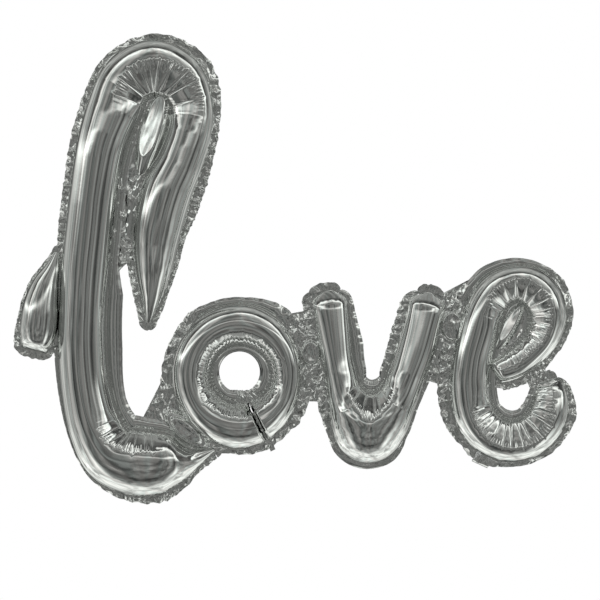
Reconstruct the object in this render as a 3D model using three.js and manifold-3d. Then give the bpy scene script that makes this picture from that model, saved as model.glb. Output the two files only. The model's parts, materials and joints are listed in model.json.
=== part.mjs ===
// Script-word foil balloon, inflated. Millimetres. X runs along the word, +Y to the back, +Z up.
// The seam plane is y = 0. Two film panels, front (-Y) and back (+Y), each a thin half shell with a flat
// heat-sealed flange, a two-ply filling valve inside the last letter, and the filling tail folded behind.
import * as THREE from "three";
import { ConvexGeometry } from "three/addons/geometries/ConvexGeometry.js";
import { mergeVertices } from "three/addons/utils/BufferGeometryUtils.js";
import Module from "manifold-3d";

const wasm = await Module();
wasm.setup();

const FILM = 0.8; // modelled film thickness
const GAP = 0.15; // half of the clearance between the two panels
const RIM = 9; // width of the sealed edge past the end of a stroke
const SIDES = 12; // facets round a tube
const MOUTH_WIDTH = 25; // filling mouth through the seam
const MOUTH_HALF = 0.8;
const PLY = 0.4; // valve and tail ply thickness
const PLY_GAP = 0.2; // half of the clearance between two plies
const TAIL_WIDTH = 22;
const TAIL_LENGTH = 30;

// Centre lines of the tubes: x, z and half width of the tube at each point.
const LETTER_L = [
  [-188, -68, 3], [-184, -38, 14], [-181, 0, 25], [-176, 48, 32], [-163, 100, 34], [-146, 138, 31],
  [-133, 180, 29], [-132, 215, 28], [-148, 245, 33], [-181, 258, 36.5], [-214, 243, 35],
  [-233, 203, 35], [-247, 160, 33], [-257, 100, 32], [-266, 20, 32], [-271, -50, 31], [-272, -105, 32],
  [-267, -160, 32.5], [-255, -205, 35], [-235, -236, 39], [-200, -247, 43], [-165, -246, 38],
  [-145, -245, 26], [-128, -241, 13], [-104, -230, 3],
];
const LEAF = [
  [-304, 22, 3], [-311, 0, 11], [-319, -20, 18], [-325, -45, 23], [-327, -65, 24.5], [-329, -82, 24],
  [-332, -96, 20], [-334, -104, 16],
];
const LETTER_V = [
  [43, -27, 20], [45, -45, 21.5], [50, -85, 21.5], [56, -125, 21], [66, -165, 26], [80, -192, 38],
  [93, -204, 44], [112, -190, 38], [130, -165, 28], [141, -140, 25], [155, -100, 25],
  [165, -62, 24], [172, -30, 22],
];
const LETTER_E = [
  [255, -134, 15], [262, -130, 17], [283, -120, 20], [305, -102, 20.5], [319, -82, 22.5], [324, -58, 24.5],
  [317, -36, 25.5], [302, -22, 25], [281, -18, 23], [259, -28, 24], [243, -52, 25], [233, -85, 26],
  [225, -120, 26], [223, -155, 26.5], [231, -190, 27], [254, -214, 27], [282, -219, 26.5],
  [308, -209, 26], [324, -187, 25], [328, -165, 22], [325, -139, 15],
];
// Width of the sealed edge left and right of each stroke, as [share of the stroke's length, width].
const RIM_L = {
  left: [[0, 9], [0.62, 9], [0.66, 19], [0.73, 19.5], [0.8, 16], [0.86, 20], [0.9, 16], [0.95, 14], [1, 9]],
  right: [[0, 8.5], [0.04, 4.5], [0.11, 5.5], [0.15, 11.5], [0.19, 11.5], [0.23, 7.5], [0.26, 7.5],
    [0.3, 13.5], [0.36, 7], [0.45, 8.5], [0.57, 9], [0.7, 5], [0.78, 3], [0.82, 1.5], [0.86, 1.5],
    [0.89, 8], [0.945, 13], [0.97, 6], [1, 9]],
};
const RIM_LEAF = {
  left: [[0, 4], [0.8, 4], [1, 8]],
  right: [[0, 4.5], [0.3, 3], [0.62, 3], [0.8, 6], [1, 11]],
};
const RIM_O = {
  left: [[0, 18], [1, 18]],
  right: [[0, 11], [0.04, 9], [0.08, 14], [0.3, 18], [0.34, 18], [0.38, 13], [0.42, 9], [0.5, 9.5], [0.54, 13],
    [0.6, 11], [0.68, 12], [0.72, 16], [0.85, 12], [0.92, 8], [1, 11]],
};
const RIM_V = {
  left: [[0, 5], [0.08, 9], [0.19, 15], [0.27, 12], [0.37, 9], [0.65, 9], [0.85, 12.5], [0.94, 11], [1, 5]],
  right: [[0, 15], [0.1, 12], [0.36, 13], [0.43, 7], [0.5, 8.5], [0.56, 2.5], [0.64, 2.5], [0.75, 7], [1, 9]],
};
const RIM_E = {
  left: [[0, 4], [0.2, 9], [0.68, 9], [0.75, 12.5], [0.93, 11.5], [1, 9]],
  right: [[0, 10], [0.11, 8], [0.14, 6], [0.25, 10], [0.285, 7.5], [0.36, 12.5], [0.42, 14], [0.5, 9],
    [0.6, 16], [0.68, 13.5], [0.715, 9], [0.75, 12], [0.79, 7], [0.87, 7.5], [0.93, 11], [1, 4]],
};
function valueAt(knots, u) {
  const k = Math.max(1, knots.findIndex(([share]) => share >= u));
  const [[u0, w0], [u1, w1]] = [knots[k - 1], knots[k]];
  return w0 + ((w1 - w0) * (u - u0)) / (u1 - u0);
}

// The ring of the o is a tube bent round an ellipse, its two ends sealed against each other at the slit.
const O_CENTRE = [-72, -134.5], O_RADII = [61.5, 65];
const O_TUBE = { left: 25.5, right: 19.5, top: 25.5, bottom: 29.5 };
const O_SLIT = THREE.MathUtils.degToRad(-66), O_SLIT_HALF = THREE.MathUtils.degToRad(0.6);

// A smooth line through [x, z, half width] points. The half width travels in the y coordinate.
const through = (points) =>
  new THREE.CatmullRomCurve3(points.map(([x, z, r]) => new THREE.Vector3(x, r, z)), false, "centripetal");

function ringOfO(points = 24) {
  const out = [];
  for (let k = 0; k <= points; k++) {
    const a = O_SLIT + O_SLIT_HALF + (k / points) * (2 * Math.PI - 2 * O_SLIT_HALF);
    const c = Math.cos(a), s = Math.sin(a);
    const across = (c > 0 ? O_TUBE.right : O_TUBE.left) * c * c;
    const along = (s > 0 ? O_TUBE.top : O_TUBE.bottom) * s * s;
    out.push([O_CENTRE[0] + O_RADII[0] * c, O_CENTRE[1] + O_RADII[1] * s, across + along]);
  }
  return out;
}

// Places along a curve, closer together where it bends.
const LONGEST_STEP = 60, LARGEST_TURN = THREE.MathUtils.degToRad(24);
function places(curve, samples = 300) {
  const heading = (u) => {
    const t = curve.getTangentAt(u);
    return new THREE.Vector2(t.x, t.z).normalize();
  };
  const cost = [0];
  for (let k = 1; k <= samples; k++) {
    const cosine = THREE.MathUtils.clamp(heading((k - 1) / samples).dot(heading(k / samples)), -1, 1);
    cost.push(cost[k - 1] + curve.getLength() / samples / LONGEST_STEP + Math.acos(cosine) / LARGEST_TURN);
  }
  const count = Math.ceil(cost[samples]);
  const out = [];
  for (let k = 0, at = 0; k < count; k++) {
    while (cost[at + 1] < (k / count) * cost[samples]) at++;
    const rest = ((k / count) * cost[samples] - cost[at]) / (cost[at + 1] - cost[at]);
    out.push((at + rest) / samples);
  }
  return [...out, 1];
}

// A wide tube is a little flatter than round.
const ROUND_UP_TO = 30, BEYOND = 0.6;
const fullDepth = (half) => (half < ROUND_UP_TO ? half : ROUND_UP_TO + BEYOND * (half - ROUND_UP_TO));

// The gathered bend at the top of the l is flatter than the straight tubes, as [share of length, depth].
const SUNK_L = [[0, 1], [0.17, 0.985], [0.2, 0.94], [0.225, 0.87], [0.25, 0.78], [0.27, 0.74], [0.4, 0.74],
  [0.415, 0.78], [0.435, 0.86], [0.46, 0.93], [0.49, 0.97], [0.55, 1], [1, 1]];

// Stations along a stroke. A pillow end keeps its width and closes in depth over the pillow length.
function stations(curve, rim, pillow = [0, 0], sunk = [[0, 1], [1, 1]]) {
  const length = curve.getLength();
  const at = places(curve);
  for (const [share, end] of [[pillow[0], 0], [pillow[1], 1]]) {
    if (share) for (const part of [0.12, 0.45]) at.push(Math.abs(end - (part * share) / length));
  }
  at.sort((a, b) => a - b);
  return at.map((u) => {
    const p = curve.getPointAt(u);
    const before = curve.getPointAt(Math.max(0, u - 0.004)), after = curve.getPointAt(Math.min(1, u + 0.004));
    const side = new THREE.Vector2(before.z - after.z, after.x - before.x).normalize();
    let depth = fullDepth(p.y) * valueAt(sunk, u);
    for (const [span, away] of [[pillow[0], u * length], [pillow[1], (1 - u) * length]]) {
      if (span && away < span) depth *= Math.sqrt(1 - (1 - away / span) ** 2);
    }
    const end = u === 0 ? -1 : u === 1 ? 1 : 0; // which way the stroke stops here, if it does
    const reach = { left: p.y + valueAt(rim.left, u), right: p.y + valueAt(rim.right, u) };
    return { x: p.x, z: p.z, side, end, half: p.y, reach, depth: Math.max(depth, 1.4) };
  });
}

// The station moved along its stroke: out past the end of the stroke, or in when the distance is negative.
const moved = (s, distance) => ({
  ...s, x: s.x + s.end * distance * s.side.y, z: s.z - s.end * distance * s.side.x,
});

// The points of one section: an ellipse of this station, narrower, shallower and further in by the inset.
function section(station, inset) {
  const s = moved(station, -inset);
  const points = [];
  for (let k = 0; k < SIDES; k++) {
    const a = (k / SIDES) * 2 * Math.PI;
    const across = (s.half - inset) * Math.cos(a), depth = Math.max(s.depth - inset, 0.5) * Math.sin(a);
    points.push(new THREE.Vector3(s.x + s.side.x * across, depth, s.z + s.side.y * across));
  }
  return points;
}

// The points of one flat section of the flange at this station, from y = low to y = high.
function flatSection(s, low, high) {
  const { left, right } = s.reach;
  return [[-right, low], [left, low], [left, high], [-right, high]].map(
    ([across, y]) => new THREE.Vector3(s.x + s.side.x * across, y, s.z + s.side.y * across));
}

// The flat sections of a whole stroke, with the sealed edge carried past both ends.
function flatSections(stroke, low, high) {
  const past = (s) => {
    const reach = { left: Math.max(3, s.reach.left - 6), right: Math.max(3, s.reach.right - 6) };
    return flatSection({ ...moved(s, RIM), reach }, low, high);
  };
  return [past(stroke[0]), ...stroke.map((s) => flatSection(s, low, high)), past(stroke.at(-1))];
}

function solid(geometry) {
  const g = geometry.clone();
  g.deleteAttribute("normal");
  g.deleteAttribute("uv");
  const m = mergeVertices(g, 1e-4);
  return new wasm.Manifold(new wasm.Mesh({
    numProp: 3,
    vertProperties: new Float32Array(m.attributes.position.array),
    triVerts: new Uint32Array(m.index.array),
  }));
}

const joined = (parts) => parts.reduce((whole, part) => whole.add(part));

const middle = (points) => points.reduce((sum, p) => sum.add(p), new THREE.Vector3()).divideScalar(points.length);

// One solid from the hulls of neighbouring sections, so that tight bends stay sound. Each hull also reaches
// a little into the next one along the middle, so that no two hulls only touch.
function chained(sections) {
  const mid = sections.map(middle);
  const links = [];
  for (let k = 0; k + 1 < sections.length; k++) {
    const points = [...sections[k], ...sections[k + 1]];
    if (k > 0) points.push(mid[k].clone().lerp(mid[k - 1], 0.4));
    if (k + 2 < sections.length) points.push(mid[k + 1].clone().lerp(mid[k + 2], 0.4));
    links.push(solid(new ConvexGeometry(points)));
  }
  return joined(links);
}

// A flat sheet with this outline ([x, z] points), from y = low to y = high. Its extrusion runs to -y.
function sheet(outline, low, high) {
  const shape = new THREE.Shape(outline.map(([x, z]) => new THREE.Vector2(x, z)));
  const g = new THREE.ExtrudeGeometry(shape, { depth: high - low, bevelEnabled: false });
  const at = g.attributes.position;
  for (let k = 0; k < at.count; k++) at.setXYZ(k, at.getX(k), at.getZ(k) > 0 ? low : high, at.getY(k));
  return solid(g);
}

// A small puffed neck between two letters: centre, half sizes.
function neck([x, z], [rx, ry, rz], inset) {
  const g = new THREE.SphereGeometry(1, 12, 8);
  g.scale(rx - inset, ry - inset, rz - inset);
  g.translate(x, 0, z);
  return solid(g);
}

const STROKES = [
  stations(through(LETTER_L), RIM_L, [0, 0], SUNK_L),
  stations(through(LEAF), RIM_LEAF, [0, 14]),
  stations(through(ringOfO()), RIM_O, [9, 9]),
  stations(through(LETTER_V), RIM_V, [18, 18]),
  stations(through(LETTER_E), RIM_E, [10, 16]),
];
const NECKS = [[[20, -107], [20, 7, 15]], [[201, -71], [24, 9, 18]]];

// Flat sealed film between the strokes, as outlines of x and z.
const WEBS = [
  [[-178, 224], [-150, 210], [-165, 150], [-200, 90], [-205, 20], [-212, -22], [-221, -1], [-226, -22], [-237, -30],
    [-236, 60], [-225, 130], [-214, 190]], // counter of the l, down to the fork
  [[-194, -196], [-189, -183], [-178, -164], [-172, -145], [-160, -115], [-145, -170], [-100, -226],
    [-140, -232], [-180, -212]], // between the foot of the l and the o
  [[-15, -62], [3, -62], [14, -48], [26, -60], [36, -100], [50, -148], [24, -164], [4, -165], [0, -110]],
  [[180, -30], [195, -35], [210, -28], [222, -18], [238, 0], [250, -20], [230, -50], [206, -100], [198, -142], [180, -140], [168, -130],
    [160, -118], [165, -60]], // between the v and the e
  [[250, -128], [252, -80], [272, -38], [300, -42], [306, -66], [290, -92]], // counter of the e
  [[292, -126], [320, -114], [324, -135], [318, -152], [301, -149], [292, -142]], // bar to end stroke
];

// The round hole inside the o, with a flat foot.
const O_HOLE = { x: -71, z: -131, radius: 26, foot: -154 };
function holeOfO() {
  const g = new THREE.CylinderGeometry(O_HOLE.radius, O_HOLE.radius, 10, 40);
  g.translate(O_HOLE.x, 0, O_HOLE.z);
  const above = sheet([[-120, O_HOLE.foot], [-20, O_HOLE.foot], [-20, -90], [-120, -90]], -8, 8);
  return solid(g).intersect(above);
}

// The filling mouth: a straight way in through the seam at the foot of the e. "in" points into the letter.
const MOUTH = new THREE.Vector3(241.5, 0, -239.5);
const IN = new THREE.Vector3(0.417, 0, 0.909).normalize();
const FOLD_FROM_SEAM = 11.5; // distance of the fold line outside the seam
// A box in the mouth's own frame: local x along the fold line, local z inwards.
function mouthBox([x0, x1], [y0, y1], [z0, z1]) {
  const g = new THREE.BoxGeometry(x1 - x0, y1 - y0, z1 - z0);
  g.translate((x0 + x1) / 2, (y0 + y1) / 2, (z0 + z1) / 2);
  g.rotateY(Math.atan2(IN.x, IN.z));
  g.translate(MOUTH.x, MOUTH.y, MOUTH.z);
  return solid(g);
}
// The same box turned about the fold line, from straight out to standing to the back.
function tailBox([x0, x1], [y0, y1], [out0, out1]) {
  const g = new THREE.BoxGeometry(x1 - x0, y1 - y0, out1 - out0);
  g.translate((x0 + x1) / 2, (y0 + y1) / 2, -(out0 + out1) / 2);
  g.rotateX(Math.PI / 2);
  g.translate(0, 0, -FOLD_FROM_SEAM);
  g.rotateY(Math.atan2(IN.x, IN.z));
  g.translate(MOUTH.x, MOUTH.y, MOUTH.z);
  return solid(g);
}

const inside = joined([
  ...STROKES.map((s) => chained(s.map((one) => section(one, FILM)))),
  ...NECKS.map(([at, size]) => neck(at, size, FILM)),
]);
const outside = joined([
  ...STROKES.map((s) => chained(s.map((one) => section(one, 0)))),
  ...NECKS.map(([at, size]) => neck(at, size, 0)),
]);
const halfMouth = MOUTH_WIDTH / 2;
const channel = mouthBox([-halfMouth, halfMouth], [-MOUTH_HALF, MOUTH_HALF], [-20, 6]);
const beyondEdge = mouthBox([-16, 16], [-4, 4], [-24, 2 - FOLD_FROM_SEAM]);

// side is -1 for the front panel and +1 for the back one.
function panel(side) {
  const [low, high] = side < 0 ? [-GAP - FILM, -GAP] : [GAP, GAP + FILM];
  const flat = joined([
    ...STROKES.map((s) => chained(flatSections(s, low, high))),
    ...WEBS.map((outline) => sheet(outline, low, high)),
    mouthBox([-halfMouth - 3, halfMouth + 3], side < 0 ? [-1.4, -GAP] : [GAP, 1.4], [2 - FOLD_FROM_SEAM, 3]),
  ]);
  const reach = side < 0 ? [-60, -GAP] : [GAP, 60];
  const half = sheet([[-400, -340], [400, -340], [400, 340], [-400, 340]], ...reach);
  const holed = outside.add(flat.subtract(holeOfO()));
  return holed.intersect(half).subtract(inside).subtract(channel).subtract(beyondEdge);
}

const ply = (side, offset = 0) =>
  side < 0 ? [-PLY_GAP - PLY - offset, -PLY_GAP - offset] : [PLY_GAP + offset, PLY_GAP + PLY + offset];
const valvePly = (side) => mouthBox([-11, 11], ply(side), [3 - FOLD_FROM_SEAM, 38]);
const tailPly = (side) => tailBox([-TAIL_WIDTH / 2, TAIL_WIDTH / 2], ply(side), [1.2, TAIL_LENGTH]);

function mesh(name, body, material) {
  const { vertProperties, triVerts } = body.getMesh();
  const g = new THREE.BufferGeometry();
  g.setAttribute("position", new THREE.BufferAttribute(new Float32Array(vertProperties), 3));
  g.setIndex(new THREE.BufferAttribute(new Uint32Array(triVerts), 1));
  g.computeVertexNormals();
  const out = new THREE.Mesh(g, material);
  out.name = name;
  return out;
}

const metallised = (name) => {
  const m = new THREE.MeshStandardMaterial({ color: 0xb9bcb8, metalness: 1, roughness: 0.12 });
  m.name = name;
  return m;
};
const foil = metallised("silver_film");
const tailFoil = metallised("tail_film");
const clear = new THREE.MeshStandardMaterial({ color: 0xe6e8e6, metalness: 0, roughness: 0.35 });
clear.name = "valve_film";

const group = new THREE.Group();
group.add(
  mesh("front_film", panel(-1), foil),
  mesh("back_film", panel(1), foil),
  mesh("valve_front_ply", valvePly(-1), clear),
  mesh("valve_back_ply", valvePly(1), clear),
  mesh("tail_front_ply", tailPly(-1), tailFoil),
  mesh("tail_back_ply", tailPly(1), tailFoil),
);

export default group;
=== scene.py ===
import json

import bpy
import numpy as np
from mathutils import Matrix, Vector

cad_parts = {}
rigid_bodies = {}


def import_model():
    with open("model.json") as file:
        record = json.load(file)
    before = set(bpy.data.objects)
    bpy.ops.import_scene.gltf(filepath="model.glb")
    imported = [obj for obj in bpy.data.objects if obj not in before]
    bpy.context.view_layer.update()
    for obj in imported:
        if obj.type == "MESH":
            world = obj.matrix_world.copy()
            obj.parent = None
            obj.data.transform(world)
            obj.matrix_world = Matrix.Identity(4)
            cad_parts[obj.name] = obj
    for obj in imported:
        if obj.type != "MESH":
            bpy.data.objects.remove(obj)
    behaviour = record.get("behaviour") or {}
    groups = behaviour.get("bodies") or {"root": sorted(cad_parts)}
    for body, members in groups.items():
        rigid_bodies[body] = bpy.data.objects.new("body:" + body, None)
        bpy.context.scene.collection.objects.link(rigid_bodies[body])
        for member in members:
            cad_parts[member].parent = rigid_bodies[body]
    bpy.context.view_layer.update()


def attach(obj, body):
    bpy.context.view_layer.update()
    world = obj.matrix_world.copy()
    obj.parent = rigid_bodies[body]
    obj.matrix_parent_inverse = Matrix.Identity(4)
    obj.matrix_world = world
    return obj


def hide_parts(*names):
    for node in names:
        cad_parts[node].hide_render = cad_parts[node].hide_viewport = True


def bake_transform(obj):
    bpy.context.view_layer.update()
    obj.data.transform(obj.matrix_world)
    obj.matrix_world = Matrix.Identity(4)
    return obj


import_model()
MM = 0.001  # the tables and formulas below are in millimetres
FRONT, BACK = -1, 1  # the side of the seam plane (y = 0) a panel lies on

# ------------------------------------------------------------------ strokes
# Centre lines of the tubes: x, z and half width of the tube.
LETTER_L = [
    (-188, -68, 3), (-184, -38, 14), (-181, 0, 25), (-176, 48, 32), (-163, 100, 34), (-146, 138, 31),
    (-133, 180, 29), (-132, 215, 28), (-148, 245, 33), (-181, 258, 36.5), (-214, 243, 35),
    (-233, 203, 35), (-247, 160, 33), (-257, 100, 32), (-266, 20, 32), (-271, -50, 31),
    (-272, -105, 32), (-267, -160, 32.5), (-255, -205, 35), (-235, -236, 39), (-200, -247, 43),
    (-165, -246, 38), (-145, -245, 26), (-128, -241, 13), (-104, -230, 3),
]
LEAF = [
    (-304, 22, 3), (-311, 0, 11), (-319, -20, 18), (-325, -45, 23), (-327, -65, 24.5), (-329, -82, 24),
    (-332, -96, 20), (-334, -104, 16),
]
LETTER_V = [
    (43, -26, 23), (45, -45, 22.5), (50, -85, 21.5), (56, -125, 21), (66, -165, 26), (80, -192, 38),
    (93, -204, 44), (112, -190, 38), (130, -165, 28), (141, -140, 25), (155, -100, 25),
    (165, -62, 24), (172, -29, 24),
]
LETTER_E = [
    (255, -134, 15), (262, -130, 17), (283, -120, 20), (305, -102, 20.5), (319, -82, 22.5),
    (324, -58, 24.5), (317, -36, 25.5), (302, -22, 25), (281, -18, 23), (259, -28, 24), (243, -52, 25),
    (233, -85, 26), (225, -120, 26), (223, -155, 26.5), (231, -190, 27), (254, -214, 27),
    (282, -219, 26.5), (308, -209, 26), (324, -187, 25), (328, -165, 22), (325, -139, 15),
]
# The o is a tube bent round an ellipse, its ends sealed against each other at the slit.
O_CENTRE, O_RADII = (-72, -134.5), (61.5, 65)
O_LEFT, O_RIGHT, O_TOP, O_BOTTOM = 25.5, 19.5, 25.5, 29.5
O_SLIT, O_SLIT_HALF = np.radians(-66), np.radians(0.35)
O_HOLE = (-71, -131, 26)  # x, z, radius
O_HOLE_FOOT = -154


def ring_of_o(points=24):
    """The o's centre line and half width, once round from one side of the slit to the other."""
    a = O_SLIT + O_SLIT_HALF + np.linspace(0, 1, points + 1) * (2 * np.pi - 2 * O_SLIT_HALF)
    c, s = np.cos(a), np.sin(a)
    half = np.where(c > 0, O_RIGHT, O_LEFT) * c**2 + np.where(s > 0, O_TOP, O_BOTTOM) * s**2
    return list(zip(O_CENTRE[0] + O_RADII[0] * c, O_CENTRE[1] + O_RADII[1] * s, half))


# Left and right of each stroke: width of the sealed edge and height of its ruffles, both as
# (share of the stroke's length, value).
RIMS = {
    "l": {
        "left": [(0, 9), (0.62, 9), (0.66, 19), (0.73, 19.5), (0.8, 16), (0.86, 20), (0.9, 16), (0.95, 14),
                 (1, 9)],
        "right": [(0, 8.5), (0.04, 4.5), (0.11, 5.5), (0.15, 11.5), (0.19, 11.5), (0.23, 7.5), (0.26, 7.5),
                  (0.3, 13.5), (0.36, 7), (0.45, 8.5), (0.57, 9), (0.7, 5), (0.78, 3), (0.82, 1.5),
                  (0.86, 1.5), (0.89, 8), (0.945, 13), (0.97, 6), (1, 9)],
        "left_wave": [(0, 1.6), (0.09, 1.6), (0.12, 0.3), (0.6, 0.3), (0.68, 0.1), (1, 0.1)],
        "right_wave": [(0, 1.6), (0.12, 2.0), (0.3, 2.6), (0.45, 2.2), (0.58, 1.5), (0.7, 0.6), (0.84, 0.3),
                       (0.89, 2.2), (0.93, 2.8), (1, 2.4)],
    },
    "leaf": {
        "left": [(0, 4), (0.8, 4), (1, 8)], "right": [(0, 4.5), (0.3, 3), (0.62, 3), (0.8, 6), (1, 11)],
        "left_wave": [(0, 0.6), (1, 1.4)], "right_wave": [(0, 1.6), (1, 2.4)],
    },
    "o": {
        "left": [(0, 16), (1, 16)],
        "right": [(0, 11), (0.04, 9), (0.08, 14), (0.3, 18), (0.34, 18), (0.38, 13), (0.42, 9), (0.5, 9.5),
                  (0.54, 13), (0.6, 11), (0.68, 12), (0.72, 16), (0.85, 12), (0.92, 8), (1, 11)],
        "left_wave": [(0, 1.4), (0.06, 1.2), (0.1, 0.04), (0.9, 0.04), (0.93, 0.9), (1, 1.2)],
        "right_wave": [(0, 2.2), (0.3, 1.6), (0.36, 0.5), (0.5, 0.6), (0.58, 1.9), (0.75, 1.2), (0.85, 2),
                       (1, 2.2)],
    },
    "v": {
        "left": [(0, 5), (0.08, 9), (0.19, 15), (0.27, 13), (0.37, 11), (0.42, 14), (0.5, 15), (0.6, 11),
                 (0.66, 9), (0.85, 12.5), (0.94, 11), (1, 5)],
        "right": [(0, 15), (0.1, 12), (0.36, 13), (0.43, 7), (0.5, 8.5), (0.56, 2.5), (0.64, 2.5), (0.75, 7),
                  (1, 9)],
        "left_wave": [(0, 1.0), (0.1, 0.6), (0.2, 0.2), (0.68, 0.15), (0.76, 1.3), (1, 1.8)],
        "right_wave": [(0, 2), (0.3, 1.6), (0.42, 1.4), (0.5, 1.6), (0.6, 0.9), (0.8, 0.6), (1, 1.6)],
    },
    "e": {
        "left": [(0, 4), (0.2, 9), (0.68, 9), (0.75, 12.5), (0.93, 11.5), (1, 9)],
        "right": [(0, 10), (0.11, 8), (0.14, 6), (0.25, 10), (0.285, 7.5), (0.36, 12.5), (0.42, 14), (0.5, 9),
                  (0.6, 16), (0.68, 13.5), (0.715, 9), (0.75, 12), (0.79, 7), (0.87, 7.5), (0.93, 11),
                  (1, 4)],
        "left_wave": [(0, 1), (0.1, 0.5), (0.14, 0.05), (0.9, 0.05), (1, 1.2)],
        "right_wave": [(0, 1.8), (0.1, 2.0), (0.24, 2.3), (0.29, 0.5), (0.4, 0.4), (0.46, 1.6), (0.7, 2.0),
                       (0.8, 1.2), (0.86, 2.0), (1, 2.6)],
    },
}


def knots(pairs, u):
    """The value at u of a line through (position, value) pairs."""
    p = np.array(pairs, float)
    return np.interp(u, p[:, 0], p[:, 1])


def step(x, low, high):
    """A smooth step from 0 at low to 1 at high."""
    t = np.clip((x - low) / (high - low), 0, 1)
    return t * t * (3 - 2 * t)


def smooth_line(points, per_segment=40, closed=False):
    """A centripetal Catmull-Rom line through the points, as in the CAD."""
    p = np.array(points, float)
    p = np.vstack([p[-2], p, p[1]] if closed else [2 * p[0] - p[1], p, 2 * p[-1] - p[-2]])
    out = []
    for k in range(1, len(p) - 2):
        q = p[k - 1 : k + 3]
        gaps = np.sqrt(np.linalg.norm(np.diff(q, axis=0), axis=1))
        t0, t1, t2, t3 = np.cumsum(np.r_[0, gaps])
        t = np.linspace(t1, t2, per_segment, endpoint=False)[:, None]
        a1 = (t1 - t) / (t1 - t0) * q[0] + (t - t0) / (t1 - t0) * q[1]
        a2 = (t2 - t) / (t2 - t1) * q[1] + (t - t1) / (t2 - t1) * q[2]
        a3 = (t3 - t) / (t3 - t2) * q[2] + (t - t2) / (t3 - t2) * q[3]
        b1 = (t2 - t) / (t2 - t0) * a1 + (t - t0) / (t2 - t0) * a2
        b2 = (t3 - t) / (t3 - t1) * a2 + (t - t1) / (t3 - t1) * a3
        out.append((t2 - t) / (t2 - t1) * b1 + (t - t1) / (t2 - t1) * b2)
    return np.vstack(out + [p[-2][None]])


# Height of a broad tube end, as a share of the full height, against the distance from its seam in mm: a
# flat facet, two short ones that lean back more and more, and a long rise.
CHAMFER = [(0, 0), (12, 0.42), (17, 0.56), (24, 0.63), (70, 0.84), (108, 1)]
END_SHARE = 0.45  # share of the half width that is left where a rounded end meets its seam
ROUND_UP_TO, WIDE_SHARE = 30, 0.6  # a tube is round up to this half width and flatter beyond it


def smoothed(values, width, **padding):
    """Values averaged over a bell of this odd width."""
    bell = np.hanning(width)
    return np.convolve(np.pad(values, width // 2, **padding), bell / bell.sum(), "valid")


class Stroke:
    """One tube's centre line with everything that varies along it, by arc length in mm."""

    def __init__(self, name, points, pillow=(0, 0), corner=(0, 0), inner=None):
        closed = name == "o"
        line = smooth_line(points, closed=closed)
        along = np.r_[0, np.cumsum(np.hypot(*np.diff(line[:, :2], axis=0).T))]
        self.name, self.length, self.pillow = name, along[-1], pillow
        self.grid = np.linspace(0, self.length, int(self.length * 2) + 1)
        self.x, self.z, self.half = (np.interp(self.grid, along, line[:, k]) for k in range(3))
        ends = dict(mode="wrap") if closed else dict(mode="reflect", reflect_type="odd")
        self.x, self.z = smoothed(self.x, 15, **ends), smoothed(self.z, 15, **ends)
        self.heading = np.unwrap(np.arctan2(np.gradient(self.z), np.gradient(self.x)))
        self.turn = smoothed(np.gradient(self.heading, self.grid), 61, mode="edge")
        wide = ROUND_UP_TO + WIDE_SHARE * (self.half - ROUND_UP_TO)
        self.thick = np.where(self.half < ROUND_UP_TO, self.half, wide)
        for radius, away in ((corner[0], self.grid), (corner[1], self.length - self.grid)):
            if radius:  # the seam runs round the end's corners
                curve = np.sqrt(1 - (1 - np.clip(away / radius, 0, 1)) ** 2)
                self.half = self.half * (END_SHARE + (1 - END_SHARE) * curve)
        self.inner = self.inner_seam(inner)

    def inner_seam(self, given):
        """x and z of the left seam. Where a bend is very tight, it runs through the given knots instead."""
        h = self.heading
        seam = np.stack([self.x - np.sin(h) * self.half, self.z + np.cos(h) * self.half])
        if not given:
            return seam
        u, low, high = self.grid / self.length, given[0][0], given[-1][0]
        through = np.stack([knots([(k[0], k[j]) for k in given], u) for j in (1, 2)])
        mixed = np.where((u > low) & (u < high), through, seam)
        return np.stack([smoothed(v, 31, mode="edge") for v in mixed])

    def across(self, s, c):
        """From the centre line to the share c of the way to the inner (left) or outer seam."""
        x, z, half, sx, sz, _ = self.at(s)
        seam_x, seam_z = (np.interp(s, self.grid, v) for v in self.inner)
        dx = np.where(c > 0, c * (seam_x - x), c * half * sx)
        return dx, np.where(c > 0, c * (seam_z - z), c * half * sz)

    def at(self, s):
        """x, z, half width, side vector (towards the left) and turn rate at arc lengths s."""
        take = lambda v: np.interp(s, self.grid, v)
        h = take(self.heading)
        return take(self.x), take(self.z), take(self.half), -np.sin(h), np.cos(h), take(self.turn)

    def bend(self, s):
        """0 on straights, 1 where the inner film of a bend is gathered into a fan."""
        return knots(FANS[self.name]["strength"], s / self.length)

    def depth(self, s):
        """Half the tube's depth, from the seam plane to its crown."""
        sink = FANS[self.name].get("sink", [(0, 1), (1, 1)])
        d = np.interp(s, self.grid, self.thick) * knots(sink, s / self.length)
        for span, away in ((self.pillow[0], s), (self.pillow[1], self.length - s)):
            if span == CHAMFER:
                d = d * np.maximum(0.02, sum(knots(CHAMFER, away + k) for k in (-1.2, 0, 1.2)) / 3)
            elif span:
                d = d * np.sqrt(np.clip(1 - (1 - np.clip(away / span, 0, 1)) ** 2, 0.0004, 1))
        return d

    def stations(self):
        """Arc lengths of the rows of points: closer together in bends and at pillow ends."""
        busy = np.clip(self.bend(self.grid) * FANS[self.name].get("puckered", 1), 0, 1)
        gap = STRAIGHT_STEP + (BENT_STEP - STRAIGHT_STEP) * busy
        for span, away in ((self.pillow[0], self.grid), (self.pillow[1], self.length - self.grid)):
            if span:
                gap = np.minimum(gap, 0.5 + away / (60 if span == CHAMFER else span) * 2)
        cost = np.r_[0, np.cumsum(np.diff(self.grid) / gap[1:])]
        count = int(cost[-1]) + 1
        return np.interp(np.linspace(0, cost[-1], count), cost, self.grid)


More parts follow.
